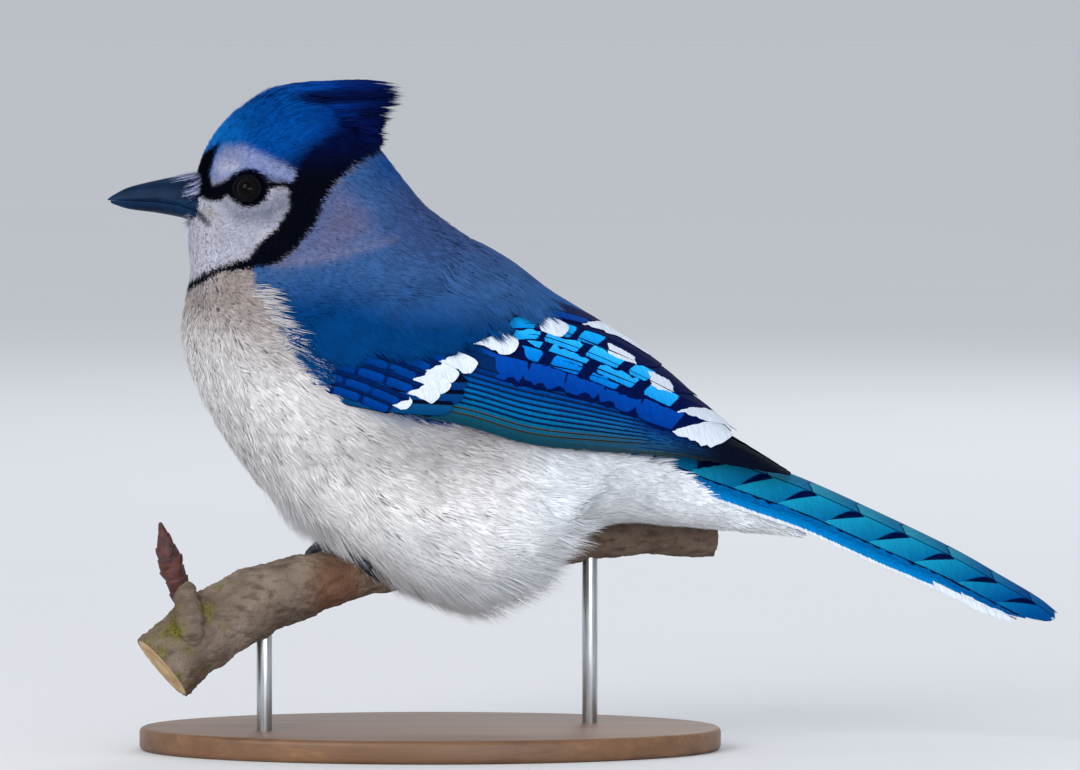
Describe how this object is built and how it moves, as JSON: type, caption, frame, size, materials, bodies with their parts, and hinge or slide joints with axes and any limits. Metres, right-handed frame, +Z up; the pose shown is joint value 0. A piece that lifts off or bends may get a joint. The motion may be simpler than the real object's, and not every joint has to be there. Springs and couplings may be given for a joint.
{
  "type": "blue jay",
  "caption": "Life-size still blue jay perched on a cut length of branch, held by rods over a flat display base.",
  "frame": {"origin": "centre of the flat underside of the display base", "axes": "+Z up, the bird faces -X with its tail toward +X, its left side is toward -Y"},
  "size_m": [0.2486, 0.096, 0.1757],
  "materials": {
    "face": "pale grey-white and black contour feathers, soft and matte",
    "crown": "bright blue crest feathers, darker toward the tips, satin",
    "body": "soft grey breast and belly feathers, blue-violet mantle",
    "wing": "blue vanes barred black with white tips, satin",
    "tail": "blue tail vanes barred black, outer ones tipped white",
    "bill": "dark slate horn, smooth, slightly glossy",
    "eye": "near-black brown eye, wet gloss",
    "foot": "blackish scaled skin and claws",
    "bark": "grey-brown bark with rust and moss patches",
    "stand_wood": "dark oiled wood, satin",
    "stand_metal": "brushed steel rod"
  },
  "bodies": {
    "root": {"bill_lower": "bill", "bill_upper": "bill", "crest": "crown", "eye_left": "eye", "eye_right": "eye", "head": "face", "leg_left": "foot", "leg_right": "foot", "neck": "face", "perch": "bark", "stand_base": "stand_wood", "stand_rod_back": "stand_metal", "stand_rod_front": "stand_metal", "tail": "tail", "torso": "body", "undertail": "body", "wing_left": "wing", "wing_right": "wing"}
  },
  "joints": []
}
